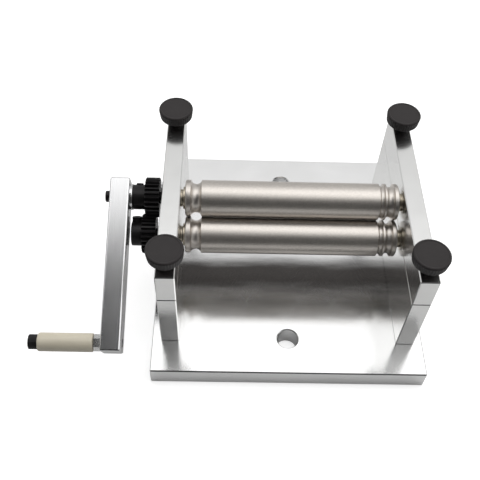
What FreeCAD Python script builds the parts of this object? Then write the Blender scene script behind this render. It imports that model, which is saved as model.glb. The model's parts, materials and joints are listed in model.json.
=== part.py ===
import FreeCAD, Part
import math
import os

# Hand-cranked two-roller sheeter. Millimetres. +X runs along the rollers, +Y to the back, +Z up.
# The origin is the centre of the base plate's underside.

V = FreeCAD.Vector
ALONG_X = V(1, 0, 0)
UP = V(0, 0, 1)

# ---- driving dimensions -------------------------------------------------------------------------

base_width = 195.0
base_depth = 205.0
base_thickness = 16.0
base_edge_chamfer = 0.8
mount_hole_diameter = 15.0
mount_hole_inset = 27.5          # from the front and back edges to the hole centres
mount_hole_chamfer = 0.6         # round the top rim only

stand_clear_width = 156.0        # between the inner faces of the two stands
stand_thickness = 13.0
stand_length = 156.0
lower_block_height = 53.0
upper_bar_height = 26.0
stand_edge_chamfer = 0.6

roller_diameter = 26.0
nip_gap = 0.2                    # between the rollers when the upper bars are fully down
roller_edge_radius = 1.2
left_groove_radius = 4.0
left_groove_depth = 2.9
left_groove_from_end = 7.6       # centre of the groove to the roller's end
inner_right_groove_radius = 1.85
inner_right_groove_depth = 1.7
inner_right_groove_from_end = 11.8
outer_right_groove_radius = 2.85
outer_right_groove_depth = 2.3
outer_right_groove_from_end = 5.9

shaft_diameter = 8.0
shaft_end_recess = 0.5           # the shafts stop this far inside the right outer face
shaft_end_chamfer = 0.5
bush_wall = 1.0
bush_flange_rise = 1.2
bush_flange_thickness = 1.0
bush_running_clearance = 0.03    # radial, shaft in bush
seam_wall = 1.5                  # metal between the lower bushes and the seam
washer_diameter = 16.0
washer_thickness = 1.5
washer_bore_clearance = 0.05
roller_end_play = 0.5            # between a thrust washer and a bush flange

gear_teeth = 26
gear_pressure_angle = 20.0       # degrees
gear_addendum_modules = 1.0
gear_dedendum_modules = 1.25
gear_flank_clearance = 0.06      # left between the flanks at both ends of the lift
gear_tip_chamfer = 0.7
gear_face_width = 10.0
gear_hub_diameter = 17.5
gear_hub_chamfer = 0.6
upper_gear_stand_gap = 2.0
upper_hub_length = 9.0
lower_gear_stand_gap = 4.5
lower_hub_length = 7.5
lower_shaft_end_proud = 0.5      # past the lower gear's hub

gear_screw_diameter = 5.0
gear_screw_end_proud = 1.0
gear_screw_lean = 37.0           # degrees up from straight back
lower_screw_diameter = 4.0
lower_screw_head_diameter = 7.0
lower_screw_head_height = 4.0
lower_screw_lean = 48.0
lower_screw_seat_cut = 0.6       # depth of the flat that its head sits on

lift_travel = 1.5                # most that the upper bars rise
knob_screw_diameter = 6.0
knob_screw_hole_clearance = 0.2
knob_screw_thread_clearance = 0.05
knob_screw_inset = 13.5          # from the stand's ends to the screw axes
knob_screw_engagement = 19.0
knob_screw_in_knob = 9.0
knob_diameter = 25.0
knob_disc_height = 8.0
knob_bottom_diameter = 23.6
knob_neck_diameter = 12.4
knob_neck_height = 5.0
knob_top_chamfer = 0.9
knob_dish_diameter = 21.4
knob_dish_depth = 0.3
knob_flutes = 40
knob_flute_radius = 0.6
knob_flute_depth = 0.22
thread_hole_spare_depth = 4.0

spring_outer_diameter = 9.6
spring_wire = 0.9
spring_pocket_depth = 12.0
spring_pocket_clearance = 0.4    # radial, spring in pocket
spring_end_clearance = 0.05
spring_turns = 5.0

block_bolt_diameter = 6.0
block_bolt_head_diameter = 10.0
block_bolt_head_height = 6.0
block_bolt_recess_clearance = 0.4
block_bolt_hole_clearance = 0.3
block_bolt_spacing = 84.0        # front to back, under each stand
block_bolt_grip = 16.0           # screwed into the block
block_bolt_head_sunk = 0.6
socket_depth_share = 0.5         # of a screw head's height
socket_width_share = 0.5         # of a screw head's diameter, across flats

crank_spacer_diameter = 18.5
arm_width = 14.0                 # along the shaft
arm_depth = 16.0
arm_edge_radius = 1.4
arm_beyond_shaft = 12.0
arm_beyond_handle = 6.4
crank_radius = 103.4
crank_rest_angle = 22.0          # degrees below the horizontal, towards the front
arm_running_gap = 0.5            # between the arm and the lower shaft's end
upper_shaft_end_proud = 3.4      # past the arm's outer face
crank_screw_diameter = 5.0
crank_screw_proud = 0.6

handle_screw_diameter = 6.0
handle_head_diameter = 10.0
handle_head_height = 6.0
handle_nut_across_flats = 10.0
handle_nut_thickness = 5.0
handle_nut_chamfer = 0.5
sleeve_diameter = 12.6
sleeve_length = 36.7
sleeve_bore_clearance = 0.08     # radial, on the screw
sleeve_end_play = 0.2            # at each end
sleeve_edge_radius = 0.8

# ---- sizes that follow --------------------------------------------------------------------------

inner_face = stand_clear_width / 2
outer_face = inner_face + stand_thickness
stand_middle = inner_face + stand_thickness / 2
half_stand = stand_length / 2
seam_z = base_thickness + lower_block_height
stand_top = seam_z + upper_bar_height

shaft_radius = shaft_diameter / 2
bush_bore_radius = shaft_radius + bush_running_clearance
bush_radius = shaft_radius + bush_wall
roller_radius = roller_diameter / 2
roller_end = inner_face - bush_flange_thickness - roller_end_play - washer_thickness

centre_distance = roller_diameter + nip_gap
upper_axis_y = 0.0
upper_axis_z = seam_z + upper_bar_height / 2
lower_axis_z = seam_z - seam_wall - bush_radius
axis_drop = upper_axis_z - lower_axis_z
lower_axis_y = upper_axis_y - math.sqrt(centre_distance ** 2 - axis_drop ** 2)
to_lower_axis = math.degrees(math.atan2(lower_axis_z - upper_axis_z, lower_axis_y - upper_axis_y))

gear_module = centre_distance / gear_teeth
gear_pitch_radius = centre_distance / 2
gear_base_radius = gear_pitch_radius * math.cos(math.radians(gear_pressure_angle))
gear_tip_radius = gear_pitch_radius + gear_addendum_modules * gear_module
gear_root_radius = gear_pitch_radius - gear_dedendum_modules * gear_module
gear_hub_radius = gear_hub_diameter / 2

# Lifting the upper axis moves its teeth sideways in the lower gaps and also backs them out, so
# each tooth is thinned and the upper teeth start to one side, free of both flanks all the way.
lift_sideways = lift_travel * (upper_axis_y - lower_axis_y) / centre_distance
lift_apart = lift_travel * axis_drop / centre_distance
flank_opening = lift_apart * math.tan(math.radians(gear_pressure_angle))
gear_tooth_thinning = (lift_sideways - flank_opening) / 2 + gear_flank_clearance
gear_mesh_bias = gear_tooth_thinning - gear_flank_clearance
gear_tooth_thickness = math.pi * gear_module / 2 - gear_tooth_thinning

upper_gear_x = -(outer_face + upper_gear_stand_gap)
upper_hub_x = upper_gear_x - gear_face_width
upper_hub_end = upper_hub_x - upper_hub_length
lower_gear_x = -(outer_face + lower_gear_stand_gap)
lower_hub_x = lower_gear_x - gear_face_width
lower_hub_end = lower_hub_x - lower_hub_length
lower_shaft_end = lower_hub_end - lower_shaft_end_proud

arm_inner_x = min(lower_shaft_end, upper_hub_end) - arm_running_gap
arm_outer_x = arm_inner_x - arm_width
upper_shaft_end = arm_outer_x - upper_shaft_end_proud
rest = math.radians(crank_rest_angle)
handle_y = upper_axis_y - crank_radius * math.cos(rest)
handle_z = upper_axis_z - crank_radius * math.sin(rest)
nut_outer_x = arm_outer_x - handle_nut_thickness
sleeve_inner_x = nut_outer_x - sleeve_end_play
sleeve_outer_x = sleeve_inner_x - sleeve_length
handle_head_x = sleeve_outer_x - sleeve_end_play

knob_screw_y = half_stand - knob_screw_inset
knob_screw_radius = knob_screw_diameter / 2
pocket_radius = spring_outer_diameter / 2 + spring_pocket_clearance
pocket_floor = seam_z - spring_pocket_depth
knob_screw_tip = pocket_floor - knob_screw_engagement

SIDES = {"left": -1, "right": 1}
ENDS = {"front": -1, "back": 1}


# ---- building blocks ----------------------------------------------------------------------------

def block(x_span, y_span, z_span):
    """A box between three pairs of limits."""
    lows = [min(span) for span in (x_span, y_span, z_span)]
    sizes = [abs(span[1] - span[0]) for span in (x_span, y_span, z_span)]
    return Part.makeBox(*sizes, V(*lows))


def rod_x(radius, x_from, x_to, y, z):
    """A cylinder along X."""
    return Part.makeCylinder(radius, abs(x_to - x_from), V(min(x_from, x_to), y, z), ALONG_X)


def rod_z(radius, z_from, z_to, x, y):
    """A cylinder along Z."""
    return Part.makeCylinder(radius, abs(z_to - z_from), V(x, y, min(z_from, z_to)), UP)


def round_edges(shape):
    """The shape's full-circle edges."""
    return [edge for edge in shape.Edges if edge.Closed and isinstance(edge.Curve, Part.Circle)]


def hexagon_rod(across_flats, start, direction, length):
    """A hexagonal rod from a point along a direction."""
    corner = across_flats / math.sqrt(3)
    points = [V(corner * math.cos(math.radians(60 * i)), corner * math.sin(math.radians(60 * i)), 0)
              for i in range(6)]
    outline = Part.makePolygon(points + points[:1])
    rod = Part.Face(Part.Wire(outline.Edges)).extrude(V(0, 0, length))
    rod.Placement = FreeCAD.Placement(start, FreeCAD.Rotation(UP, direction))
    return rod


def cap_screw(start, direction, shank_diameter, shank_length, head_diameter, head_height):
    """A socket-head screw: the shank runs from start along direction, and the head lies behind it."""
    shank = Part.makeCylinder(shank_diameter / 2, shank_length, start, direction)
    head_top = start - direction * head_height
    head = Part.makeCylinder(head_diameter / 2, head_height, head_top, direction)
    top_edge = [edge for edge in round_edges(head) if (edge.Curve.Center - head_top).Length < 1e-6]
    head = head.makeChamfer(head_height / 12, top_edge)
    socket = hexagon_rod(head_diameter * socket_width_share, head_top, direction,
                         head_height * socket_depth_share)
    return shank.fuse(head).cut(socket).removeSplitter()


def set_screw(start, direction, diameter, length):
    """A headless screw with a hexagonal socket in its outer end, which is at start."""
    body = Part.makeCylinder(diameter / 2, length, start, direction)
    return body.cut(hexagon_rod(diameter / 2, start, direction, diameter * socket_depth_share))


def revolve(points, centre, axis_from, axis_to):
    """A solid of revolution: each point is (distance along the axis, radius)."""
    profile = Part.Face(Part.makePolygon([V(along, radius, 0) for along, radius in points + points[:1]]))
    solid = profile.revolve(V(0, 0, 0), ALONG_X, 360)
    solid.Placement = FreeCAD.Placement(centre, FreeCAD.Rotation(axis_from, axis_to))
    return solid


# ---- base and stands ----------------------------------------------------------------------------

def block_bolt_places():
    """Axes of the four bolts that hold the stands down, as (x, y)."""
    return [(side * stand_middle, end * block_bolt_spacing / 2)
            for side in SIDES.values() for end in ENDS.values()]


def base_plate():
    plate = block((-base_width / 2, base_width / 2), (-base_depth / 2, base_depth / 2), (0, base_thickness))
    plate = plate.makeChamfer(base_edge_chamfer, plate.Edges)
    for end in ENDS.values():
        y = end * (base_depth / 2 - mount_hole_inset)
        hole = rod_z(mount_hole_diameter / 2, 0, base_thickness, 0, y)
        plate = plate.cut(hole)
        rim = Part.makeCone(mount_hole_diameter / 2, mount_hole_diameter / 2 + mount_hole_chamfer,
                            mount_hole_chamfer, V(0, y, base_thickness - mount_hole_chamfer), UP)
        plate = plate.cut(rim)
    recess_top = block_bolt_head_height + block_bolt_head_sunk
    for x, y in block_bolt_places():
        hole_radius = block_bolt_diameter / 2 + block_bolt_hole_clearance
        recess_radius = block_bolt_head_diameter / 2 + block_bolt_recess_clearance
        plate = plate.cut(rod_z(hole_radius, 0, base_thickness, x, y))
        plate = plate.cut(rod_z(recess_radius, 0, recess_top, x, y))
    return plate


def block_bolts():
    """The four socket-head bolts under the base, as one group."""
    shank = base_thickness - block_bolt_head_height - block_bolt_head_sunk + block_bolt_grip
    seat = block_bolt_head_height + block_bolt_head_sunk
    return Part.makeCompound([
        cap_screw(V(x, y, seat), UP, block_bolt_diameter, shank, block_bolt_head_diameter,
                  block_bolt_head_height)
        for x, y in block_bolt_places()])


def stand_block(side, z_span):
    """A plain bar of the stand's section, with its edges broken."""
    bar = block((side * inner_face, side * outer_face), (-half_stand, half_stand), z_span)
    return bar.makeChamfer(stand_edge_chamfer, bar.Edges)


def lower_block(side):
    solid = stand_block(side, (base_thickness, seam_z))
    solid = solid.cut(rod_x(bush_radius, side * inner_face, side * outer_face, lower_axis_y, lower_axis_z))
    x = side * stand_middle
    for end in ENDS.values():
        y = end * knob_screw_y
        thread_radius = knob_screw_radius + knob_screw_thread_clearance
        solid = solid.cut(rod_z(pocket_radius, pocket_floor, seam_z, x, y))
        solid = solid.cut(rod_z(thread_radius, knob_screw_tip - thread_hole_spare_depth, pocket_floor, x, y))
        bolt_y = end * block_bolt_spacing / 2
        bolt_end = base_thickness + block_bolt_grip
        solid = solid.cut(rod_z(block_bolt_diameter / 2, base_thickness, bolt_end, x, bolt_y))
    return solid


def upper_bar(side):
    solid = stand_block(side, (seam_z, stand_top))
    solid = solid.cut(rod_x(bush_radius, side * inner_face, side * outer_face, upper_axis_y, upper_axis_z))
    for end in ENDS.values():
        hole_radius = knob_screw_radius + knob_screw_hole_clearance
        solid = solid.cut(rod_z(hole_radius, seam_z, stand_top, side * stand_middle, end * knob_screw_y))
    return solid


def bush(side, y, z):
    """A flanged bush in a stand, with its flange on the inner face."""
    flange_x = inner_face - bush_flange_thickness
    body = rod_x(bush_radius, side * inner_face, side * outer_face, y, z)
    flange = rod_x(bush_radius + bush_flange_rise, side * flange_x, side * inner_face, y, z)
    bore = rod_x(bush_bore_radius, side * flange_x, side * outer_face, y, z)
    return body.fuse(flange).cut(bore).removeSplitter()


# ---- rollers and their shafts -------------------------------------------------------------------

def groove(x, radius, depth, y, z):
    """A round-bottomed groove cutter about a roller's axis."""
    ring_radius = roller_radius - depth + radius
    return Part.makeTorus(ring_radius, radius, V(x, y, z), ALONG_X)


def roller(y, z):
    solid = rod_x(roller_radius, -roller_end, roller_end, y, z)
    solid = solid.makeFillet(roller_edge_radius, round_edges(solid))
    solid = solid.cut(rod_x(shaft_radius, -roller_end, roller_end, y, z))
    left = left_groove_from_end - roller_end
    solid = solid.cut(groove(left, left_groove_radius, left_groove_depth, y, z))
    inner = roller_end - inner_right_groove_from_end
    solid = solid.cut(groove(inner, inner_right_groove_radius, inner_right_groove_depth, y, z))
    outer = roller_end - outer_right_groove_from_end
    return solid.cut(groove(outer, outer_right_groove_radius, outer_right_groove_depth, y, z))


def shaft(left_end, y, z):
    solid = rod_x(shaft_radius, left_end, outer_face - shaft_end_recess, y, z)
    return solid.makeChamfer(shaft_end_chamfer, round_edges(solid))


def thrust_washer(side, y, z):
    span = (side * roller_end, side * (roller_end + washer_thickness))
    bore = rod_x(shaft_radius + washer_bore_clearance, *span, y, z)
    return rod_x(washer_diameter / 2, *span, y, z).cut(bore)


# ---- gears --------------------------------------------------------------------------------------

def involute(angle):
    return math.tan(angle) - angle


def half_tooth_angle(radius):
    """Half the angle that a tooth takes up at a radius, from the involute of the base circle."""
    pressure = math.radians(gear_pressure_angle)
    at_pitch = gear_tooth_thickness / (2 * gear_pitch_radius) + involute(pressure)
    return at_pitch - involute(math.acos(min(1.0, gear_base_radius / radius)))


def gear_outline(x, y, z, first_tooth):
    """The toothed outline: involute flanks, round tips and roots, radial below the base circle."""
    def at(radius, angle):
        return V(x, y + radius * math.cos(angle), z + radius * math.sin(angle))

    steps = 4
    radii = [gear_base_radius + (gear_tip_radius - gear_base_radius) * i / steps for i in range(steps + 1)]
    pitch_angle = 2 * math.pi / gear_teeth
    root_half = half_tooth_angle(gear_base_radius)
    edges = []
    for tooth in range(gear_teeth):
        middle = first_tooth + tooth * pitch_angle
        rising = [at(radius, middle - half_tooth_angle(radius)) for radius in radii]
        falling = [at(radius, middle + half_tooth_angle(radius)) for radius in reversed(radii)]
        root_start = at(gear_root_radius, middle - root_half)
        root_end = at(gear_root_radius, middle + root_half)
        next_root = at(gear_root_radius, middle + pitch_angle - root_half)
        for flank in (rising, falling):
            curve = Part.BSplineCurve()
            curve.interpolate(flank)
            edges.append(curve.toShape())
        edges.append(Part.Arc(rising[-1], at(gear_tip_radius, middle), falling[0]).toShape())
        edges.append(Part.makeLine(root_start, rising[0]))
        edges.append(Part.makeLine(falling[-1], root_end))
        edges.append(Part.Arc(root_end, at(gear_root_radius, middle + pitch_angle / 2), next_root).toShape())
    return Part.Wire(Part.__sortEdges__(edges))


def gear(face_x, hub_end, y, z, first_tooth):
    """A toothed wheel whose hub points left, bored for the shaft."""
    far_x = face_x - gear_face_width
    teeth = Part.Face(gear_outline(far_x, y, z, first_tooth)).extrude(V(gear_face_width, 0, 0))
    blank = rod_x(gear_tip_radius, far_x, face_x, y, z)
    blank = blank.makeChamfer(gear_tip_chamfer, round_edges(blank))
    hub = rod_x(gear_hub_radius, hub_end, far_x, y, z)
    hub_rim = [edge for edge in round_edges(hub) if abs(edge.Curve.Center.x - hub_end) < 1e-6]
    hub = hub.makeChamfer(gear_hub_chamfer, hub_rim)
    return teeth.common(blank).fuse(hub).cut(rod_x(shaft_radius, hub_end, face_x, y, z)).removeSplitter()


def inward(lean):
    """Direction towards a shaft of a radial screw that comes in from the back, leaning up."""
    return V(0, -math.cos(math.radians(lean)), -math.sin(math.radians(lean)))


def upper_screw_start():
    x = (upper_hub_x + upper_hub_end) / 2
    centre = V(x, upper_axis_y, upper_axis_z)
    return centre - inward(gear_screw_lean) * (gear_hub_radius + gear_screw_end_proud)


def upper_gear():
    bias = gear_mesh_bias / gear_pitch_radius
    solid = gear(upper_gear_x, upper_hub_end, upper_axis_y, upper_axis_z, math.radians(to_lower_axis) + bias)
    length = gear_hub_radius + gear_screw_end_proud
    return solid.cut(Part.makeCylinder(gear_screw_diameter / 2, length, upper_screw_start(),
                                       inward(gear_screw_lean)))


def upper_gear_screw():
    length = gear_hub_radius + gear_screw_end_proud - shaft_radius
    return set_screw(upper_screw_start(), inward(gear_screw_lean), gear_screw_diameter, length)


def lower_screw_seat():
    """Where the lower screw's head meets the flat on the hub."""
    x = (lower_hub_x + lower_hub_end) / 2
    centre = V(x, lower_axis_y, lower_axis_z)
    return centre - inward(lower_screw_lean) * (gear_hub_radius - lower_screw_seat_cut)


def lower_gear():
    half_pitch = math.pi / gear_teeth
    first_tooth = math.radians(to_lower_axis) + math.pi + half_pitch
    solid = gear(lower_gear_x, lower_hub_end, lower_axis_y, lower_axis_z, first_tooth)
    direction = inward(lower_screw_lean)
    seat = lower_screw_seat()
    solid = solid.cut(Part.makeCylinder(lower_screw_head_diameter / 2, lower_screw_head_height,
                                        seat - direction * lower_screw_head_height, direction))
    return solid.cut(Part.makeCylinder(lower_screw_diameter / 2, gear_hub_radius, seat, direction))


def lower_gear_screw():
    length = gear_hub_radius - lower_screw_seat_cut - shaft_radius
    return cap_screw(lower_screw_seat(), inward(lower_screw_lean), lower_screw_diameter, length,
                     lower_screw_head_diameter, lower_screw_head_height)


# ---- knobs, their screws and springs ------------------------------------------------------------

def knob(x, y):
    """A fluted disc on a short neck, dished on top."""
    neck = knob_neck_diameter / 2
    disc = knob_diameter / 2
    disc_low = knob_neck_height
    disc_high = knob_neck_height + knob_disc_height
    profile = [(0, 0), (0, neck), (disc_low, neck), (disc_low, knob_bottom_diameter / 2 - knob_top_chamfer),
               (disc_low + knob_top_chamfer, knob_bottom_diameter / 2), (disc_high - knob_top_chamfer, disc),
               (disc_high, disc - knob_top_chamfer), (disc_high, knob_dish_diameter / 2),
               (disc_high - knob_dish_depth, knob_dish_diameter / 2 - knob_dish_depth),
               (disc_high - knob_dish_depth, 0)]
    solid = revolve(profile, V(x, y, stand_top), ALONG_X, UP)
    lean = (knob_diameter - knob_bottom_diameter) / 2
    height = knob_disc_height - 2 * knob_top_chamfer
    slope = V(lean, 0, height)
    start_radius = knob_bottom_diameter / 2 + knob_flute_radius - knob_flute_depth
    overshoot = knob_top_chamfer / height
    start = V(start_radius, 0, disc_low + knob_top_chamfer) - slope * overshoot
    flute = Part.makeCylinder(knob_flute_radius, slope.Length * (1 + 2 * overshoot), start, slope)
    flutes = []
    for i in range(knob_flutes):
        turned = flute.copy()
        turned.rotate(V(0, 0, 0), UP, 360 * i / knob_flutes)
        turned.translate(V(x, y, stand_top))
        flutes.append(turned)
    solid = solid.cut(flutes)
    return solid.cut(rod_z(knob_screw_radius, stand_top, stand_top + knob_screw_in_knob, x, y))


def knob_screw(x, y):
    rod = rod_z(knob_screw_radius, knob_screw_tip, stand_top + knob_screw_in_knob, x, y)
    tip = [edge for edge in round_edges(rod) if edge.Curve.Center.z < seam_z]
    return rod.makeChamfer(shaft_end_chamfer, tip)


def spring(x, y):
    """A coil spring round a knob screw, between its pocket's floor and the upper bar."""
    wire_radius = spring_wire / 2
    coil_radius = spring_outer_diameter / 2 - wire_radius
    low = pocket_floor + wire_radius + spring_end_clearance
    height = spring_pocket_depth - spring_wire - 2 * spring_end_clearance
    path = Part.makeHelix(height / spring_turns, height, coil_radius)
    section = Part.Wire(Part.makeCircle(wire_radius, V(coil_radius, 0, 0), V(0, 1, 0)))
    coil = Part.Wire(path).makePipeShell([section], True, True)
    coil.translate(V(x, y, low))
    return coil


# ---- crank and handle ---------------------------------------------------------------------------

def turn_to_rest(shape):
    """Turns what is built pointing straight forward about the upper shaft, down to its rest angle."""
    turned = shape.copy()
    turned.rotate(V(0, upper_axis_y, upper_axis_z), ALONG_X, crank_rest_angle)
    return turned


def crank_spacer():
    solid = rod_x(crank_spacer_diameter / 2, upper_hub_end, arm_inner_x, upper_axis_y, upper_axis_z)
    return solid.cut(rod_x(shaft_radius, upper_hub_end, arm_inner_x, upper_axis_y, upper_axis_z))


def crank_screw_start():
    x = (arm_inner_x + arm_outer_x) / 2
    return V(x, upper_axis_y + arm_beyond_shaft + crank_screw_proud, upper_axis_z)


def crank_arm():
    half_depth = arm_depth / 2
    y_span = (upper_axis_y + arm_beyond_shaft, upper_axis_y - crank_radius - arm_beyond_handle)
    z_span = (upper_axis_z - half_depth, upper_axis_z + half_depth)
    arm = block((arm_inner_x, arm_outer_x), y_span, z_span)
    arm = arm.makeFillet(arm_edge_radius, arm.Edges)
    arm = arm.cut(rod_x(shaft_radius, arm_inner_x, arm_outer_x, upper_axis_y, upper_axis_z))
    arm = arm.cut(rod_x(handle_screw_diameter / 2, arm_inner_x, arm_outer_x,
                        upper_axis_y - crank_radius, upper_axis_z))
    arm = arm.cut(Part.makeCylinder(crank_screw_diameter / 2, arm_beyond_shaft, crank_screw_start(),
                                    V(0, -1, 0)))
    return turn_to_rest(arm)


def crank_set_screw():
    length = arm_beyond_shaft + crank_screw_proud - shaft_radius
    return turn_to_rest(set_screw(crank_screw_start(), V(0, -1, 0), crank_screw_diameter, length))


def handle_screw():
    return cap_screw(V(handle_head_x, handle_y, handle_z), ALONG_X, handle_screw_diameter,
                     arm_inner_x - handle_head_x, handle_head_diameter, handle_head_height)


def handle_nut():
    start = V(nut_outer_x, handle_y, handle_z)
    nut = hexagon_rod(handle_nut_across_flats, start, ALONG_X, handle_nut_thickness)
    across_corners = handle_nut_across_flats / math.cos(math.radians(30))
    envelope = rod_x(across_corners / 2, nut_outer_x, arm_outer_x, handle_y, handle_z)
    nut = nut.common(envelope.makeChamfer(handle_nut_chamfer, round_edges(envelope)))
    return nut.cut(rod_x(handle_screw_diameter / 2, nut_outer_x, arm_outer_x, handle_y, handle_z))


def handle_sleeve():
    solid = rod_x(sleeve_diameter / 2, sleeve_outer_x, sleeve_inner_x, handle_y, handle_z)
    solid = solid.makeFillet(sleeve_edge_radius, round_edges(solid))
    bore = handle_screw_diameter / 2 + sleeve_bore_clearance
    return solid.cut(rod_x(bore, sleeve_outer_x, sleeve_inner_x, handle_y, handle_z))


# ---- all the sub-parts --------------------------------------------------------------------------

def sub_parts():
    parts = {"base_plate": base_plate(), "block_bolts": block_bolts()}
    axes = {"upper": (upper_axis_y, upper_axis_z), "lower": (lower_axis_y, lower_axis_z)}
    shaft_ends = {"upper": upper_shaft_end, "lower": lower_shaft_end}
    for side_name, side in SIDES.items():
        parts[side_name + "_lower_block"] = lower_block(side)
        parts[side_name + "_upper_bar"] = upper_bar(side)
        for level, (y, z) in axes.items():
            parts[level + "_" + side_name + "_bush"] = bush(side, y, z)
            parts[level + "_" + side_name + "_thrust_washer"] = thrust_washer(side, y, z)
        for end_name, end in ENDS.items():
            place = (side * stand_middle, end * knob_screw_y)
            name = end_name + "_" + side_name
            parts[name + "_knob"] = knob(*place)
            parts[name + "_knob_screw"] = knob_screw(*place)
            parts[name + "_spring"] = spring(*place)
    for level, (y, z) in axes.items():
        parts[level + "_roller"] = roller(y, z)
        parts[level + "_shaft"] = shaft(shaft_ends[level], y, z)
    parts["upper_gear"] = upper_gear()
    parts["upper_gear_set_screw"] = upper_gear_screw()
    parts["lower_gear"] = lower_gear()
    parts["lower_gear_cap_screw"] = lower_gear_screw()
    parts["crank_spacer"] = crank_spacer()
    parts["crank_arm"] = crank_arm()
    parts["crank_set_screw"] = crank_set_screw()
    parts["handle_screw"] = handle_screw()
    parts["handle_nut"] = handle_nut()
    parts["handle_sleeve"] = handle_sleeve()
    return parts


os.makedirs("parts", exist_ok=True)
for node, shape in sub_parts().items():
    shape.exportStep("parts/" + node + ".step")
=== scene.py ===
import json
import math

import bpy
import numpy as np
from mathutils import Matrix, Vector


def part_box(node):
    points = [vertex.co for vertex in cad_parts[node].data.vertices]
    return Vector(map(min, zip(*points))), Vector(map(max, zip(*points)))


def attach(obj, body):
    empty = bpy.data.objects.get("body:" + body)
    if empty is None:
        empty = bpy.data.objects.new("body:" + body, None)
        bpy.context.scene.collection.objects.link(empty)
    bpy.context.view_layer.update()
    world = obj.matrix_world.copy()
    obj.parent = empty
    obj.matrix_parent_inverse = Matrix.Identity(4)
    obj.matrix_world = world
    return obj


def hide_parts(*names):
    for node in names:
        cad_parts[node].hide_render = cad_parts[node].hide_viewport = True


# The looks of a hand-cranked two-roller dough sheeter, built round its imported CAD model.
# Lengths are in metres. +X runs along the rollers, away from the crank; +Y to the back; +Z up.

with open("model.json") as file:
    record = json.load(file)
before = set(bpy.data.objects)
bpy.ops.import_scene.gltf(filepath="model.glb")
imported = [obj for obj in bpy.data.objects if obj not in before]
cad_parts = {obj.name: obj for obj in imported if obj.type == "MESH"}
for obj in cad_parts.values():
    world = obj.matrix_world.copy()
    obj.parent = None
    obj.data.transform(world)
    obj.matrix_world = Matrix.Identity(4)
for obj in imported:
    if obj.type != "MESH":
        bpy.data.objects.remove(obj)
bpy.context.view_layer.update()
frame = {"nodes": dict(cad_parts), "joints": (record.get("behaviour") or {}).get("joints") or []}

MM = 0.001
ALONG_X = np.array((1.0, 0.0, 0.0))
ALONG_Z = np.array((0.0, 0.0, 1.0))


def round_angles(count):
    """A count of angles spread evenly round a full turn."""
    return np.linspace(0, 2 * math.pi, count, endpoint=False)


ROUND = round_angles(192)
FINE_ROUND = round_angles(288)


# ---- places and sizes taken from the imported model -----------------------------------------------

def corners(node):
    """A CAD node's lowest and highest corner, as two arrays."""
    low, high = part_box(node)
    return np.array(low), np.array(high)


def pivot(joint):
    """The point that a joint's axis passes through."""
    return np.array(next(j["pos_m"] for j in frame["joints"] if j["name"] == joint))


UPPER_AXIS = pivot("crank_turn")
LOWER_AXIS = pivot("lower_roller_turn")
GRIP_AXIS = pivot("handle_grip_spin")


def on_axis(x, axis):
    """The point of an axis along X at a given x."""
    return np.array((x, axis[1], axis[2]))


# ---- surfaces -----------------------------------------------------------------------------------

def outline(*points, edge=0.0, steps=3):
    """A profile of (distance, radius) rows whose corners are softened: each corner P gives way to the
    curve (1-t)^2 A + 2t(1-t) P + t^2 B, where A and B lie on its two sides, `edge` away from it or
    0.4 of the shorter side if that is less."""
    points = np.array(points, float)
    before, corner, after = points[:-2], points[1:-1], points[2:]
    back, on = before - corner, after - corner
    back_length = np.linalg.norm(back, axis=1, keepdims=True)
    on_length = np.linalg.norm(on, axis=1, keepdims=True)
    reach = np.minimum(edge, 0.4 * np.minimum(back_length, on_length))
    start = corner + back / back_length * reach
    end = corner + on / on_length * reach
    t = np.linspace(0, 1, steps + 1)[None, :, None]
    curve = (1 - t) ** 2 * start[:, None] + 2 * t * (1 - t) * corner[:, None] + t ** 2 * end[:, None]
    return np.vstack((points[:1], curve.reshape(-1, 2), points[-1:]))


def turned(profile, start, along, angles=ROUND, limit=None, six_sided=None, carve=None):
    """Rings of points round a line, start + distance * along + radius * (cos a * across + sin a *
    third). `limit` caps the radius at each angle. Where `six_sided` says so, the radius is a
    hexagon's, r / cos(b) with b the angle from the nearest flat's middle. `carve` gives a depth to
    take off the radius."""
    distance, radius = profile[:, :1], profile[:, 1:]
    along = np.array(along, float) / np.linalg.norm(along)
    upright = abs(along[2]) > 0.9
    third = np.cross(along, ALONG_X) if upright else ALONG_Z - along * (ALONG_Z @ along)
    third = third / np.linalg.norm(third)
    across = np.cross(third, along)
    radius = np.broadcast_to(radius, (len(profile), len(angles)))
    if six_sided is not None:
        from_flat = (angles + math.pi / 6) % (math.pi / 3) - math.pi / 6
        radius = np.where(six_sided(distance, radius), radius / np.cos(from_flat), radius)
    if limit is not None:
        radius = np.minimum(radius, limit)
    if carve is not None:
        radius = radius - carve(distance, radius, angles)
    outward = np.cos(angles)[:, None] * across + np.sin(angles)[:, None] * third
    return start + distance[:, :, None] * along + radius[:, :, None] * outward


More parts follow.
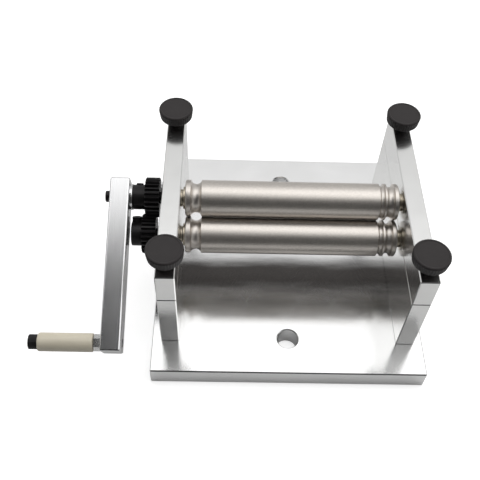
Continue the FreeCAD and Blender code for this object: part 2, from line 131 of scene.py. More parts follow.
def skin(name, rings, body, node, finish, sharp=35):
    """Joins each ring of points to the next and shows the result in place of a CAD node. A first or
    last ring that has shrunk to a point becomes one pole; if neither has, the last ring joins the
    first. Edges that turn by more than `sharp` degrees stay sharp."""
    count, width = rings.shape[:2]
    smallest_ring = 1e-7
    poles = np.ptp(rings, axis=1).max(axis=1) < smallest_ring
    index = np.arange(count * width).reshape(count, width)
    index[poles] = index[poles, :1]
    if not poles[0]:
        index = np.vstack((index, index[:1]))
    here, there = index[:-1], index[1:]
    quads = np.stack((here, np.roll(here, -1, 1), np.roll(there, -1, 1), there), -1).reshape(-1, 4)
    from_pole = quads[:, 0] == quads[:, 1]
    to_pole = quads[:, 2] == quads[:, 3]
    triangles = np.vstack((quads[from_pole][:, (0, 2, 3)], quads[to_pole][:, (0, 1, 2)]))
    quads = quads[~from_pole & ~to_pole]
    in_faces = np.concatenate((quads.ravel(), triangles.ravel()))
    used, renumbered = np.unique(in_faces, return_inverse=True)
    quads = renumbered[:quads.size].reshape(-1, 4)
    triangles = renumbered[quads.size:].reshape(-1, 3)
    mesh = bpy.data.meshes.new(name)
    mesh.from_pydata(rings.reshape(-1, 3)[used].tolist(), [], quads.tolist() + triangles.tolist())
    mesh.polygons.foreach_set("use_smooth", np.ones(len(mesh.polygons), bool))
    mesh.set_sharp_from_angle(angle=math.radians(sharp))
    mesh.materials.append(finish)
    mesh.update()
    piece = bpy.data.objects.new(name, mesh)
    bpy.context.scene.collection.objects.link(piece)
    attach(piece, body)
    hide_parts(node)
    return piece


# ---- finishes -----------------------------------------------------------------------------------

class Wire:
    """A node's output. Adding, subtracting or multiplying it adds the Math node that does so."""

    def __init__(self, nodes, socket):
        self.nodes = nodes
        self.socket = socket

    def __add__(self, other):
        return self.nodes.reckon("ADD", self, other)

    def __sub__(self, other):
        return self.nodes.reckon("SUBTRACT", self, other)

    def __rsub__(self, other):
        return self.nodes.reckon("SUBTRACT", other, self)

    def __mul__(self, other):
        return self.nodes.reckon("MULTIPLY", self, other)

    __radd__ = __add__
    __rmul__ = __mul__


class Nodes:
    """A node tree that is written one node at a time."""

    def __init__(self, tree):
        self.tree = tree

    def node(self, kind, settings=(), sockets=(), out=0):
        """Adds a node, with its settings first and then its sockets' values or links."""
        node = self.tree.nodes.new(kind)
        for name, value in dict(settings).items():
            if name == "stops":
                self.set_stops(node.color_ramp, value)
            else:
                setattr(node, name, value)
        for name, value in dict(sockets).items():
            self.feed(node.inputs[name], value)
        return Wire(self, node.outputs[out])

    def set_stops(self, ramp, stops):
        """Gives a colour ramp its stops, each (position, grey level)."""
        while len(ramp.elements) < len(stops):
            ramp.elements.new(1.0)
        for element, (position, level) in zip(ramp.elements, stops):
            element.position = position
            element.color = (level, level, level, 1.0)

    def feed(self, socket, value):
        """Links a wire to a socket, or sets the socket's own value."""
        if isinstance(value, Wire):
            self.tree.links.new(value.socket, socket)
        else:
            socket.default_value = value

    def reckon(self, operation, *values):
        """A Math node."""
        return self.node("ShaderNodeMath", {"operation": operation}, dict(enumerate(values)))

    def vector(self, operation, *values, out=0):
        """A Vector Math node."""
        sockets = dict(enumerate(values))
        return self.node("ShaderNodeVectorMath", {"operation": operation}, sockets, out)

    def parts(self, vector):
        """The x, y and z of a vector."""
        node = self.node("ShaderNodeSeparateXYZ", (), {0: vector})
        return [Wire(self, output) for output in node.socket.node.outputs]

    def joined(self, x, y, z=0.0):
        """A vector from three numbers."""
        return self.node("ShaderNodeCombineXYZ", (), {0: x, 1: y, 2: z})

    def between(self, value, low, high):
        """0 below low, 1 above high, and a smooth step from one to the other."""
        return self.node("ShaderNodeMapRange", {"interpolation_type": "SMOOTHSTEP"},
                         {"Value": value, "From Min": low, "From Max": high})

    def noise(self, place, size, detail=3.0, roughness=0.55):
        """Noise whose blotches are about `size` across, in the units of place."""
        return self.node("ShaderNodeTexNoise", (), {"Vector": place, "Scale": 1.0 / size,
                                                    "Detail": detail, "Roughness": roughness})

    def mixed(self, amount, first, second):
        """The first colour at amount 0, the second at 1."""
        return self.node("ShaderNodeMix", {"data_type": "RGBA"}, {0: amount, 6: first, 7: second}, 2)


class Finish(Nodes):
    """A material on a Principled shader, patterned on the piece's own coordinates."""

    def __init__(self, name, **constants):
        self.material = bpy.data.materials.new(name)
        self.material.use_nodes = True
        super().__init__(self.material.node_tree)
        self.shader = self.tree.nodes["Principled BSDF"]
        self.set(**constants)
        self.place = self.node("ShaderNodeTexCoord", out="Object")

    def set(self, **values):
        """Sets or links the shader's sockets, named in lower case with underscores."""
        for name, value in values.items():
            socket = next(s for s in self.shader.inputs if s.name.lower().replace(" ", "_") == name)
            self.feed(socket, value)

    def stretched(self, x=1.0, y=1.0, z=1.0, turn_x=0.0):
        """The piece's coordinates, turned about X and then divided by a grain's length each way."""
        turned_place = self.node("ShaderNodeMapping", {"vector_type": "POINT"},
                                 {"Vector": self.place, "Rotation": (turn_x, 0.0, 0.0)})
        return self.node("ShaderNodeMapping", {"vector_type": "POINT"},
                         {"Vector": turned_place, "Scale": (1.0 / x, 1.0 / y, 1.0 / z)})

    def relief(self, height, depth):
        """Raises the surface by a height of 0 to 1 times depth."""
        self.set(normal=self.node("ShaderNodeBump", (), {"Distance": depth, "Height": height}))


def colour(red, green, blue):
    """An opaque colour, in linear levels of 0 to 1."""
    return (red, green, blue, 1.0)


def polished_plate():
    """Polished aluminium with sets of fine arcs left by wiping and turning. The dark band under the
    rollers is painted on in place of their reflection. It isn't a stain or a coating."""
    finish = Finish("polished_plate", metallic=1.0)
    x, y, _ = finish.parts(finish.place)
    upward = finish.parts(finish.node("ShaderNodeNewGeometry", out="Normal"))[2]
    on_top = finish.between(upward, 0.5, 0.9)
    # each set of arcs: its centre's x and y on the plate, and the width of one line
    arc_sets = ((0.005, -0.150, 0.16 * MM), (-0.10, -0.09, 0.22 * MM), (0.11, -0.115, 0.20 * MM))

    def broken_arcs(centre_x, centre_y, line_width):
        """Streaks that keep their distance from a centre, broken up by patches."""
        from_x, from_y = x - centre_x, y - centre_y
        distance = finish.vector("LENGTH", finish.joined(from_x, from_y), out="Value")
        angle = finish.reckon("ARCTAN2", from_y, from_x)
        streaks = finish.noise(finish.joined(distance * (1 / line_width), angle * 4.0), 1.0, 3.0)
        patches = finish.noise(finish.joined(distance * 60.0, angle * 2.0, centre_x * 9), 1.0, 2.0)
        return finish.between(streaks, 0.48, 0.68) * finish.between(patches, 0.36, 0.74)

    arcs = sum(broken_arcs(*arc_set) for arc_set in arc_sets) * on_top
    cloud = finish.noise(finish.place, 30 * MM, 2.0)
    grain = finish.noise(finish.place, 0.5 * MM, 2.0)
    waver = finish.noise(finish.stretched(40 * MM, 6 * MM, 6 * MM), 1.0, 4.0) - 0.5
    ragged_y = y + waver * (10 * MM)
    band = finish.between(ragged_y, -58 * MM, -24 * MM) * finish.between(ragged_y, 8 * MM, -14 * MM)
    band = band * finish.between(finish.reckon("ABSOLUTE", x), 90 * MM, 86 * MM) * on_top
    bare = finish.mixed(cloud, colour(0.84, 0.84, 0.835), colour(0.91, 0.91, 0.91))
    finish.set(base_color=finish.mixed(band * 0.96, bare, colour(0.024, 0.020, 0.018)),
               roughness=arcs * 0.08 + cloud * 0.06 + band * 0.08 + 0.14)
    finish.relief(arcs * 0.8 + grain * 0.12, 0.006 * MM)
    return finish.material


def milled_stand():
    """Milled aluminium with a fine lay along each bar."""
    finish = Finish("milled_stand", metallic=1.0)
    lay = finish.noise(finish.stretched(0.22 * MM, 16 * MM, 0.22 * MM), 1.0, 3.0)
    cloud = finish.noise(finish.place, 14 * MM, 2.0)
    finish.set(base_color=finish.mixed(cloud, colour(0.76, 0.76, 0.75), colour(0.84, 0.84, 0.83)),
               roughness=lay * 0.06 + cloud * 0.04 + 0.15)
    finish.relief(lay, 0.008 * MM)
    return finish.material


def brushed_arm(rest_angle):
    """Aluminium bar brushed along its length."""
    finish = Finish("brushed_arm", metallic=1.0)
    hairs = finish.noise(finish.stretched(0.16 * MM, 22 * MM, 0.16 * MM, -rest_angle), 1.0, 4.0)
    cloud = finish.noise(finish.place, 18 * MM, 2.0)
    finish.set(base_color=finish.mixed(hairs, colour(0.56, 0.56, 0.57), colour(0.80, 0.80, 0.80)),
               roughness=hairs * 0.08 + cloud * 0.04 + 0.12)
    finish.relief(hairs, 0.004 * MM)
    return finish.material


def ground_roller(name, axis):
    """Fine-ground steel: hairlines round the roller and a warm, slightly mottled grey."""
    finish = Finish(name, metallic=1.0)
    from_axis = finish.vector("SUBTRACT", finish.place, tuple(axis))
    x, y, z = finish.parts(from_axis)
    angle = finish.reckon("ARCTAN2", z, y)
    hairs = finish.noise(finish.joined(x * (1 / (0.12 * MM)), angle * 3.0), 1.0, 3.0)
    mottle = finish.noise(finish.stretched(1.8 * MM, 0.9 * MM, 0.9 * MM), 1.0, 5.0, 0.75)
    grain = finish.noise(finish.place, 0.6 * MM, 2.0)
    finish.set(base_color=finish.mixed(mottle, colour(0.46, 0.425, 0.39),
                                       colour(0.83, 0.785, 0.735)),
               roughness=mottle * 0.12 + hairs * 0.04 + 0.29)
    finish.relief(hairs * 0.3 + grain * 0.8 + mottle, 0.012 * MM)
    return finish.material


def black_oxide():
    """Blackened steel with a faint grain and thinner, greyer patches."""
    finish = Finish("black_oxide", metallic=0.4, specular_ior_level=0.3)
    patches = finish.noise(finish.place, 5 * MM, 4.0)
    grain = finish.noise(finish.place, 0.3 * MM, 3.0)
    finish.set(base_color=finish.mixed(patches, colour(0.006, 0.006, 0.0065),
                                       colour(0.024, 0.022, 0.023)),
               roughness=grain * 0.14 + patches * 0.10 + 0.26)
    finish.relief(grain, 0.012 * MM)
    return finish.material


def bearing_bronze():
    """Turned bronze, a little dulled by oil."""
    finish = Finish("bearing_bronze", metallic=1.0)
    stain = finish.noise(finish.place, 3 * MM, 4.0)
    grain = finish.noise(finish.place, 0.3 * MM, 2.0)
    finish.set(base_color=finish.mixed(stain, colour(0.46, 0.40, 0.31), colour(0.70, 0.64, 0.53)),
               roughness=stain * 0.15 + grain * 0.08 + 0.24)
    finish.relief(grain, 0.01 * MM)
    return finish.material


def moulded_knob():
    """Matt black moulding compound with a fine spark-eroded texture."""
    finish = Finish("moulded_knob", specular_ior_level=0.35)
    pits = finish.noise(finish.place, 0.28 * MM, 3.0)
    cloud = finish.noise(finish.place, 7 * MM, 3.0)
    finish.set(base_color=finish.mixed(cloud, colour(0.015, 0.0125, 0.0125),
                                       colour(0.025, 0.0215, 0.0215)),
               roughness=pits * 0.10 + cloud * 0.08 + 0.46)
    finish.relief(pits, 0.03 * MM)
    return finish.material


def zinc_plating():
    """Bright zinc plating with a fine crystal bloom."""
    finish = Finish("zinc_plating", metallic=1.0)
    bloom = finish.noise(finish.place, 1.2 * MM, 4.0)
    finish.set(base_color=finish.mixed(bloom, colour(0.60, 0.60, 0.58), colour(0.80, 0.80, 0.80)),
               roughness=bloom * 0.14 + 0.20)
    finish.relief(bloom, 0.008 * MM)
    return finish.material


def drawn_wire():
    """Drawn spring wire, dark grey and a little oily."""
    finish = Finish("drawn_wire", metallic=1.0)
    mottle = finish.noise(finish.place, 0.8 * MM, 3.0)
    finish.set(base_color=finish.mixed(mottle, colour(0.30, 0.30, 0.31), colour(0.50, 0.50, 0.50)),
               roughness=mottle * 0.12 + 0.26)
    finish.relief(mottle, 0.006 * MM)
    return finish.material


def turned_ivory(axis):
    """Ivory-coloured plastic, turned, with faint tool lines round it and a soft cloudiness."""
    finish = Finish("turned_ivory", specular_ior_level=0.45)
    from_axis = finish.vector("SUBTRACT", finish.place, tuple(axis))
    x, y, z = finish.parts(from_axis)
    angle = finish.reckon("ARCTAN2", z, y)
    lines = finish.noise(finish.joined(x * (1 / (0.25 * MM)), angle), 1.0, 2.0)
    cloud = finish.noise(finish.stretched(9 * MM, 3 * MM, 3 * MM), 1.0, 4.0)
    finish.set(base_color=finish.mixed(cloud, colour(0.50, 0.455, 0.360),
                                       colour(0.61, 0.565, 0.460)),
               roughness=lines * 0.10 + cloud * 0.06 + 0.30)
    finish.relief(lines, 0.01 * MM)
    return finish.material


REST_ANGLE = math.atan2(UPPER_AXIS[2] - GRIP_AXIS[2], UPPER_AXIS[1] - GRIP_AXIS[1])
OXIDE = black_oxide()
BRONZE = bearing_bronze()
KNOB_PLASTIC = moulded_knob()
ZINC = zinc_plating()


# ---- rollers, shafts, washers and bushes --------------------------------------------------------

ROLLER_RADIUS = 13.0 * MM
ROLLER_EDGE = 1.2 * MM
SHAFT_RADIUS = 4.0 * MM
BUSH_BORE = 4.03 * MM
# the centre drilling in each end of a shaft
DRILL_RADIUS = 1.5 * MM
DRILL_DEPTH = 1.6 * MM
# points along a roller's rounded rim and across a groove
RIM_STEPS = 9
GROOVE_STEPS = 25
# each groove: centre's distance from its end of the roller, radius of its round bottom, depth
LEFT_GROOVE = (7.6 * MM, 4.0 * MM, 2.9 * MM)
INNER_RIGHT_GROOVE = (11.8 * MM, 1.85 * MM, 1.7 * MM)
OUTER_RIGHT_GROOVE = (5.9 * MM, 2.85 * MM, 2.3 * MM)


def groove_rows(centre, radius, depth):
    """Profile rows of a round-bottomed groove: the arc (centre + r sin a, R - depth + r - r cos a),
    with R the roller's radius."""
    widest = math.acos(1 - depth / radius)
    angle = np.linspace(-widest, widest, GROOVE_STEPS)
    return np.stack((centre + radius * np.sin(angle),
                     ROLLER_RADIUS - depth + radius - radius * np.cos(angle)), -1)


def roller_profile(length):
    """A roller from its left end: rounded rim, wide groove, plain face, two small grooves and the
    other rim."""
    rim = np.linspace(0, math.pi / 2, RIM_STEPS)
    rim_in = ROLLER_EDGE * (1 - np.cos(rim))
    rim_up = ROLLER_RADIUS - ROLLER_EDGE * (1 - np.sin(rim))
    left = np.stack((rim_in, rim_up), -1)
    right = np.stack((length - rim_in, rim_up), -1)[::-1]
    right_grooves = [groove_rows(length - place, radius, depth)
                     for place, radius, depth in (INNER_RIGHT_GROOVE, OUTER_RIGHT_GROOVE)]
    return np.vstack(([(0, 0), (0, SHAFT_RADIUS)], left, groove_rows(*LEFT_GROOVE), *right_grooves,
                      right, [(length, SHAFT_RADIUS), (length, 0)]))


def ring_profile(length, radius, bore, edge):
    """A ring's profile: out along its rim and back through its bore, both with softened corners."""
    return outline((length / 2, bore), (0, bore), (0, radius), (length, radius), (length, bore),
                   (length / 2, bore), edge=edge)[:-1]


def drive_pieces(level, body, axis):
    """One roller with its shaft and two thrust washers."""
    low, high = corners(level + "_roller")
    steel = ground_roller("ground_" + level + "_roller", axis)
    rings = turned(roller_profile(high[0] - low[0]), on_axis(low[0], axis), ALONG_X, FINE_ROUND)
    skin(level + "_roller_ground", rings, body, level + "_roller", steel, sharp=20)
    low, high = corners(level + "_shaft")
    length = high[0] - low[0]
    profile = outline((DRILL_DEPTH, 0), (0, DRILL_RADIUS), (0, SHAFT_RADIUS), (length, SHAFT_RADIUS),
                      (length, DRILL_RADIUS), (length - DRILL_DEPTH, 0), edge=0.5 * MM)
    skin(level + "_shaft_turned", turned(profile, on_axis(low[0], axis), ALONG_X),
         body, level + "_shaft", OXIDE)
    for side in ("left", "right"):
        node = level + "_" + side + "_thrust_washer"
        low, high = corners(node)
        radius = (high[2] - low[2]) / 2
        profile = ring_profile(high[0] - low[0], radius, SHAFT_RADIUS, edge=0.15 * MM)
        skin(node + "_turned", turned(profile, on_axis(low[0], axis), ALONG_X),
             body, node, BRONZE)


def flanged_bush(side, level, body, axis):
    """A bush with its flange towards the rollers."""
    node = level + "_" + side + "_bush"
    low, high = corners(node)
    length, flange = high[0] - low[0], (high[2] - low[2]) / 2
    collar, wall = 1.0 * MM, 1.0 * MM
    profile = outline((length / 2, BUSH_BORE), (0, BUSH_BORE), (0, flange), (collar, flange),
                      (collar, SHAFT_RADIUS + wall), (length, SHAFT_RADIUS + wall),
                      (length, BUSH_BORE), (length / 2, BUSH_BORE), edge=0.15 * MM)[:-1]
    start, along = (low[0], ALONG_X) if side == "right" else (high[0], -ALONG_X)
    skin(node + "_turned", turned(profile, on_axis(start, axis), along),
         body, node, BRONZE)


drive_pieces("upper", "upper_drive", UPPER_AXIS)
drive_pieces("lower", "lower_drive", LOWER_AXIS)
for side_name in ("left", "right"):
    flanged_bush(side_name, "upper", "upper_carriage", UPPER_AXIS)
    flanged_bush(side_name, "lower", "base", LOWER_AXIS)


# ---- gears --------------------------------------------------------------------------------------

TEETH = 26
PRESSURE_ANGLE = math.radians(20)
PITCH_RADIUS = float(np.linalg.norm(UPPER_AXIS - LOWER_AXIS)) / 2
MODULE = 2 * PITCH_RADIUS / TEETH
BASE_RADIUS = PITCH_RADIUS * math.cos(PRESSURE_ANGLE)
TIP_RADIUS = PITCH_RADIUS + MODULE
ROOT_RADIUS = PITCH_RADIUS - 1.25 * MODULE
TO_LOWER_AXIS = math.atan2(LOWER_AXIS[2] - UPPER_AXIS[2], LOWER_AXIS[1] - UPPER_AXIS[1])
HUB_RADIUS = 8.75 * MM
# each tooth is thinner than half the pitch, and the upper gear is turned a little inside that play
TOOTH_THINNING = 0.36 * MM
MESH_BIAS = 0.30 * MM


def involute(angle):
    """tan a - a, the angle by which an involute has left its start."""
    return np.tan(angle) - angle


def toothed(first_tooth):
    """Angles and radii round a gear. A flank's half angle at radius r is half the tooth at the pitch
    circle + inv(pressure angle) - inv(acos(base / r)); tips and roots are arcs, and below the base
    circle the flank runs straight to the root."""
    thickness = math.pi * MODULE / 2 - TOOTH_THINNING
    flank = np.linspace(BASE_RADIUS, TIP_RADIUS, 7)
    half = (thickness / (2 * PITCH_RADIUS) + involute(PRESSURE_ANGLE)
            - involute(np.arccos(BASE_RADIUS / flank)))
    tip = np.linspace(-half[-1], half[-1], 5)[1:-1]
    root = np.linspace(half[0], 2 * math.pi / TEETH - half[0], 5)
    angle = np.concatenate((-half, tip, half[::-1], root))
    radius = np.concatenate((flank, np.full(len(tip), TIP_RADIUS),
                             flank[::-1], np.full(len(root), ROOT_RADIUS)))
    tooth = first_tooth + 2 * math.pi / TEETH * np.arange(TEETH)
    return (tooth[:, None] + angle).ravel(), np.tile(radius, TEETH)


def gear_pieces(level, body, axis, first_tooth):
    """A gear with its hub to the left: hub rim, hub, web face, chamfered teeth, right face."""
    node = level + "_gear"
    low, high = corners(node)
    length, face = high[0] - low[0], 10.0 * MM
    web = length - face
    chamfer = 0.7 * MM
    profile = np.vstack((
        outline((length / 2, SHAFT_RADIUS), (0, SHAFT_RADIUS), (0, HUB_RADIUS), (web, HUB_RADIUS),
                edge=0.6 * MM, steps=4),
        [(web, TIP_RADIUS - chamfer), (web + chamfer, TIP_RADIUS), (length - chamfer, TIP_RADIUS),
         (length, TIP_RADIUS - chamfer), (length, SHAFT_RADIUS)]))
    angles, radii = toothed(first_tooth)
    skin(node + "_cut", turned(profile, on_axis(low[0], axis), ALONG_X, angles, radii),
         body, node, OXIDE, sharp=30)


gear_pieces("upper", "upper_drive", UPPER_AXIS, TO_LOWER_AXIS + MESH_BIAS / PITCH_RADIUS)
gear_pieces("lower", "lower_drive", LOWER_AXIS, TO_LOWER_AXIS + math.pi + math.pi / TEETH)


# ---- screws and the nut -------------------------------------------------------------------------

SCREW_EDGE = 0.3 * MM
RIB_DEPTH = 0.12 * MM


def socket_screw(length, radius, head_radius, head_height, edge):
    """A screw's profile from its socket: hexagonal hole, head, and shank if the head is wider. Also
    a test for the socket's wall, with some room for its softened corners."""
    socket = head_radius / 2
    depth = min(head_height, length) / 2
    rows = [(depth, 0), (depth, socket), (0, socket), (0, head_radius), (head_height, head_radius)]
    if head_radius > radius:
        rows += [(head_height, radius)]
    rows += [(length, radius), (length, 0)]
    profile = outline(*rows, edge=edge)

    def in_socket(distance, size):
        """Whether a point lies on the socket's wall or a softened corner of it."""
        return (size > socket * 0.8) & (size < socket * 1.05) & (distance <= depth * 1.001)

    return profile, in_socket


def knurl(ribs, depth, reach, head_radius):
    """Straight ribs round a screw head: depth * (0.5 - 0.5 cos(ribs * angle)), from 0.12 to 0.92 of
    its height."""
    def carve(distance, radius, angles):
        """The depth to take off at each point of the head."""
        in_reach = (distance > 0.12 * reach) & (distance < 0.92 * reach)
        on_side = in_reach & (np.abs(radius - head_radius) < 0.01 * MM)
        return on_side * depth * (0.5 - 0.5 * np.cos(ribs * angles))
    return carve


def screw(node, body, start, along, length, radius, head_radius=None, head_height=0.0, ribs=0):
    """A socket screw, headless if no head radius is given. A ribbed head has extra rings up its
    side."""
    head = head_radius or radius
    height = head_height or length / 2
    profile, in_socket = socket_screw(length, radius, head, height, SCREW_EDGE)
    if ribs:
        lift = np.linspace(0.15, 0.9, 8)[:, None] * height
        side = np.hstack((lift, np.full_like(lift, head)))
        first = int(np.argmax((profile[:, 1] >= head) & (profile[:, 0] > 0)))
        profile = np.insert(profile, first + 1, side, axis=0)
    angles = round_angles(max(96, 8 * ribs))
    carve = knurl(ribs, RIB_DEPTH, height, head) if ribs else None
    skin(node + "_turned", turned(profile, start, along, angles, six_sided=in_socket, carve=carve),
         body, node, OXIDE)


def screw_to_shaft(node, body, axis, lean, outer_end, **sizes):
    """A screw that points at a shaft. It comes from the back at a lean above the horizontal, and its
    outer end is outer_end away from the shaft's axis."""
    low, high = corners(node)
    out = np.array((0.0, math.cos(lean), math.sin(lean)))
    screw(node, body, on_axis((low[0] + high[0]) / 2, axis) + out * outer_end, -out, **sizes)


def handle_screw():
    """The cap screw that the grip turns on, from its head at the left to the arm."""
    low, high = corners("handle_screw")
    screw("handle_screw", "upper_drive", on_axis(low[0], GRIP_AXIS), ALONG_X,
          length=high[0] - low[0] - 0.2 * MM, radius=3.0 * MM,
          head_radius=5.0 * MM, head_height=6.0 * MM, ribs=36)


screw_to_shaft("upper_gear_set_screw", "upper_drive", UPPER_AXIS, math.radians(37),
               HUB_RADIUS + 1.0 * MM, length=5.7 * MM, radius=2.5 * MM)
screw_to_shaft("lower_gear_cap_screw", "lower_drive", LOWER_AXIS, math.radians(48),
               HUB_RADIUS + 3.4 * MM, length=8.1 * MM, radius=2.0 * MM,
               head_radius=3.5 * MM, head_height=4.0 * MM, ribs=30)
screw_to_shaft("crank_set_screw", "upper_drive", UPPER_AXIS, REST_ANGLE,
               12.6 * MM, length=8.6 * MM, radius=2.5 * MM)
handle_screw()


def hexagon_nut():
    """The nut between the grip and the arm: a hexagon whose corners are chamfered at both faces."""
    low, high = corners("handle_nut")
    length, flats = high[0] - low[0], 5.0 * MM
    bore, chamfer, face = 3.0 * MM, 0.5 * MM, flats * 0.97
    profile = outline((length / 2, bore), (0, bore), (0, face), (chamfer, flats),
                      (length - chamfer, flats), (length, face), (length, bore), (length / 2, bore),
                      edge=0.12 * MM)[:-1]

    def on_flats(distance, radius):
        """Whether a point lies on the six flats, between the two chamfers."""
        between_chamfers = (distance > chamfer * 0.7) & (distance < length - chamfer * 0.7)
        return (radius > flats * 0.985) & between_chamfers

    rings = turned(profile, on_axis(low[0], GRIP_AXIS), ALONG_X, six_sided=on_flats)
    skin("handle_nut_pressed", rings, "upper_drive", "handle_nut", ZINC, sharp=25)


hexagon_nut()


# ---- grip, spacer and knobs ---------------------------------------------------------------------

def grip():
    """The loose sleeve of the handle, a plain tube with rounded rims."""
    low, high = corners("handle_sleeve")
    profile = ring_profile(high[0] - low[0], (high[2] - low[2]) / 2, bore=3.08 * MM, edge=0.9 * MM)
    skin("handle_sleeve_turned", turned(profile, on_axis(low[0], GRIP_AXIS), ALONG_X),
         "handle_grip", "handle_sleeve", turned_ivory(GRIP_AXIS))


def spacer(finish):
    """The ring between the upper gear's hub and the arm."""
    low, high = corners("crank_spacer")
    radius = (high[2] - low[2]) / 2
    profile = ring_profile(high[0] - low[0], radius, SHAFT_RADIUS, edge=0.25 * MM)
    skin("crank_spacer_turned", turned(profile, on_axis(low[0], UPPER_AXIS), ALONG_X),
         "upper_drive", "crank_spacer", finish)


KNOB_FLUTES = 40
ANGLES_A_FLUTE = 12
FLUTE_DEPTH = 0.22 * MM
HALF_FLUTE = 0.037  # radians


def flutes(disc_low, disc_high, rim):
    """Shallow flutes round a knob: depth * (1 - (offset / half width)^2) near each flute's middle."""
    def carve(distance, radius, angles):
        """The depth to take off at each point of the knob."""
        pitch = 2 * math.pi / KNOB_FLUTES
        offset = (angles + pitch / 2) % pitch - pitch / 2
        hollow = np.clip(1 - (offset / HALF_FLUTE) ** 2, 0, 1)
        on_side = (distance > disc_low) & (distance < disc_high) & (radius > rim)
        return on_side * FLUTE_DEPTH * hollow
    return carve


def knob(corner):
    """A fluted disc on a short neck, with a shallow dish on top and extra rings up its side, which
    widens a little from foot to top. Distances run up from the stand's top."""
    node = corner + "_knob"
    low, high = corners(node)
    height, radius = high[2] - low[2], (high[0] - low[0]) / 2
    neck, neck_top, chamfer = 6.2 * MM, 5.0 * MM, 0.9 * MM
    foot, dish, sink = radius - 0.7 * MM, radius - 1.8 * MM, 0.3 * MM
    rows = outline((0, 0), (0, neck), (neck_top, neck), (neck_top, foot - chamfer),
                   (neck_top + chamfer, foot), (height - chamfer, radius),
                   (height, radius - chamfer), (height, dish), (height - sink, dish - sink),
                   (height - sink, 0), edge=0.35 * MM, steps=4)
    side = np.linspace(0.1, 0.9, 6)[:, None]
    wall = (1 - side) * (neck_top + chamfer, foot) + side * (height - chamfer, radius)
    first = int(np.argmax(rows[:, 0] > neck_top + 2 * chamfer))
    rows = np.insert(rows, first, wall, axis=0)
    middle = (low + high) / 2
    start = np.array((middle[0], middle[1], low[2]))
    angles = round_angles(KNOB_FLUTES * ANGLES_A_FLUTE)
    carve = flutes(neck_top + 0.5 * chamfer, height - 0.6 * chamfer, foot - 0.3 * MM)
    skin(node + "_moulded", turned(rows, start, ALONG_Z, angles, carve=carve),
         corner + "_adjuster", node, KNOB_PLASTIC)


ARM_FINISH = brushed_arm(REST_ANGLE)
grip()
spacer(ARM_FINISH)
for end_name in ("front", "back"):
    for side_name in ("left", "right"):
        knob(end_name + "_" + side_name)


# ---- CAD nodes that keep their own shape --------------------------------------------------------

NODE_FINISHES = {
    "base_plate": polished_plate(), "block_bolts": OXIDE, "crank_arm": ARM_FINISH,
}
STAND_FINISH = milled_stand()
WIRE_FINISH = drawn_wire()
for name, node in frame["nodes"].items():
    if name.endswith(("_block", "_bar")):
        NODE_FINISHES[name] = STAND_FINISH
    if name.endswith("_spring"):
        NODE_FINISHES[name] = WIRE_FINISH
    if name.endswith("_knob_screw"):
        NODE_FINISHES[name] = ZINC
    if name in NODE_FINISHES:
        node.data.materials.clear()
        node.data.materials.append(NODE_FINISHES[name])


# ---- floor, light and camera --------------------------------------------------------------------

def studio_floor():
    """A round pale table top under the machine: the disc of a given radius at z = 0. It glows to the
    camera only, so that it looks whiter than what the metal reflects of it."""
    radius, sides = 0.42, 64
    angle = round_angles(sides)
    edge = np.stack((radius * np.cos(angle), radius * np.sin(angle), np.zeros(sides)), -1)
    mesh = bpy.data.meshes.new("studio_floor")
    mesh.from_pydata(edge.tolist(), [], [list(range(sides))])
    finish = Finish("studio_paper", roughness=0.9, specular_ior_level=0.0)
    weave = finish.noise(finish.place, 0.02, 2.0)
    seen = finish.node("ShaderNodeLightPath", out="Is Camera Ray")
    finish.set(base_color=finish.mixed(weave, colour(0.61, 0.61, 0.61), colour(0.63, 0.63, 0.63)),
               emission_color=finish.mixed(seen, colour(0.0, 0.0, 0.0), colour(0.65, 0.65, 0.65)),
               emission_strength=1.0)
    mesh.materials.append(finish.material)
    floor = bpy.data.objects.new("studio_floor", mesh)
    bpy.context.scene.collection.objects.link(floor)


# the sky's brightest level, of which its side, flag, box and seen greys are fractions
BRIGHTEST_SKY = 1.7


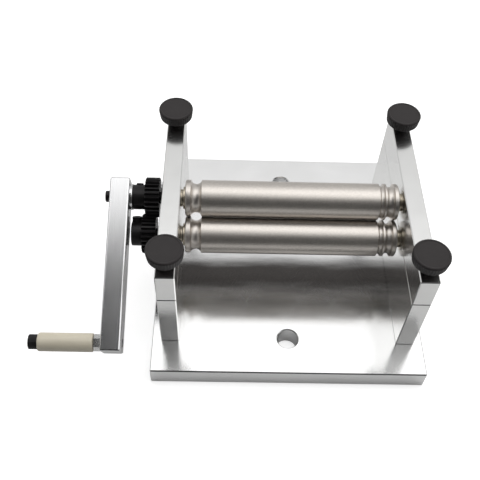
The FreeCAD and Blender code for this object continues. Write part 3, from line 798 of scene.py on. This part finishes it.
def studio_sky():
    """Soft light from all round: brightest overhead and a little behind, and dim low in front. The
    level follows the angle from straight up, counted towards the front, with one grey at both sides,
    a dark flag at the left and a lighter box in front. The camera itself sees an even white."""
    side_grey, flag_grey = colour(0.40, 0.40, 0.40), colour(0.02, 0.02, 0.02)
    box_grey, seen_grey = colour(0.65, 0.65, 0.65), colour(0.70, 0.70, 0.70)
    levels = {-100: 0.55, -70: 0.62, -50: 0.70, -42: 0.82, -35: 1.05, -29: 1.40, -16: 1.7, 12: 1.7,
              20: 1.35, 24: 0.60, 28: 0.16, 50: 0.10, 86: 0.08, 104: 0.30}

    def facing(degrees):
        """An angle's place on the scale of 0 to 1 that runs from straight down, over the back, the
        top and the front, to straight down again."""
        return degrees / 360 + 0.5

    world = bpy.data.worlds.new("studio_sky")
    world.use_nodes = True
    bpy.context.scene.world = world
    sky = Nodes(world.node_tree)
    x, y, z = sky.parts(sky.node("ShaderNodeTexCoord", out="Generated"))
    towards_front = sky.reckon("ARCTAN2", y * -1.0, z) * (1 / (2 * math.pi)) + 0.5
    stops = [(facing(angle), level / BRIGHTEST_SKY) for angle, level in levels.items()]
    band = sky.node("ShaderNodeValToRGB", {"stops": stops}, {0: towards_front})
    sideways = sky.between(sky.reckon("ABSOLUTE", x), 0.55, 0.95)
    glow = sky.mixed(sideways, band, side_grey)
    left_flag = sky.between(x, -0.01, -0.08)
    left_flag = left_flag * sky.between(towards_front, facing(2.16), facing(8.64))
    glow = sky.mixed(left_flag, glow, flag_grey)
    front_box = sky.between(sky.reckon("ABSOLUTE", x - 0.09), 0.12, 0.07)
    front_box = front_box * sky.between(towards_front, facing(43.2), facing(21.6))
    front_box = front_box * sky.between(towards_front, facing(10.8), facing(18.0))
    glow = sky.mixed(front_box, glow, box_grey)
    seen = sky.node("ShaderNodeLightPath", out="Is Camera Ray")
    background = world.node_tree.nodes["Background"]
    sky.feed(background.inputs["Color"], sky.mixed(seen, glow, seen_grey))
    background.inputs["Strength"].default_value = BRIGHTEST_SKY


def soft_light(name, place, aim, size, power):
    """A square area light at a place, facing a point."""
    data = bpy.data.lights.new(name, "AREA")
    data.size = size
    data.energy = power
    lamp = bpy.data.objects.new(name, data)
    bpy.context.scene.collection.objects.link(lamp)
    lamp.location = place
    away = np.array(place) - np.array(aim)
    lamp.rotation_euler = (math.acos(away[2] / np.linalg.norm(away)), 0.0,
                           math.atan2(away[1], away[0]) + math.pi / 2)
    lamp.visible_glossy = False


def camera():
    """Looks down on the machine from the front, a little turned and rolled."""
    place = (-0.04709, -0.32856, 0.46423)
    yaw, pitch, roll = 0.03655, 0.91816, 0.04852
    sensor_width, focal_length, nearest = 36.0, 53.07, 0.01
    forward = np.array((math.sin(yaw) * math.cos(pitch), math.cos(yaw) * math.cos(pitch),
                        -math.sin(pitch)))
    level = np.array((math.cos(yaw), -math.sin(yaw), 0.0))
    upright = np.cross(level, forward)
    right = math.cos(roll) * level + math.sin(roll) * upright
    up = math.cos(roll) * upright - math.sin(roll) * level
    data = bpy.data.cameras.new("camera")
    data.sensor_width = sensor_width
    data.lens = focal_length
    data.clip_start = nearest
    holder = bpy.data.objects.new("camera", data)
    bpy.context.scene.collection.objects.link(holder)
    pose = np.eye(4)
    pose[:3, 0], pose[:3, 1], pose[:3, 2] = right, up, -forward
    pose[:3, 3] = place
    holder.matrix_world = pose.T.tolist()  # a nested list is read column by column
    bpy.context.scene.camera = holder


studio_floor()
studio_sky()
soft_light("overhead_softbox", place=(0.1, 0.4, 1.2), aim=(0.0, 0.0, 0.05), size=1.2, power=6.0)
camera()
bpy.context.scene.view_settings.view_transform = "Standard"
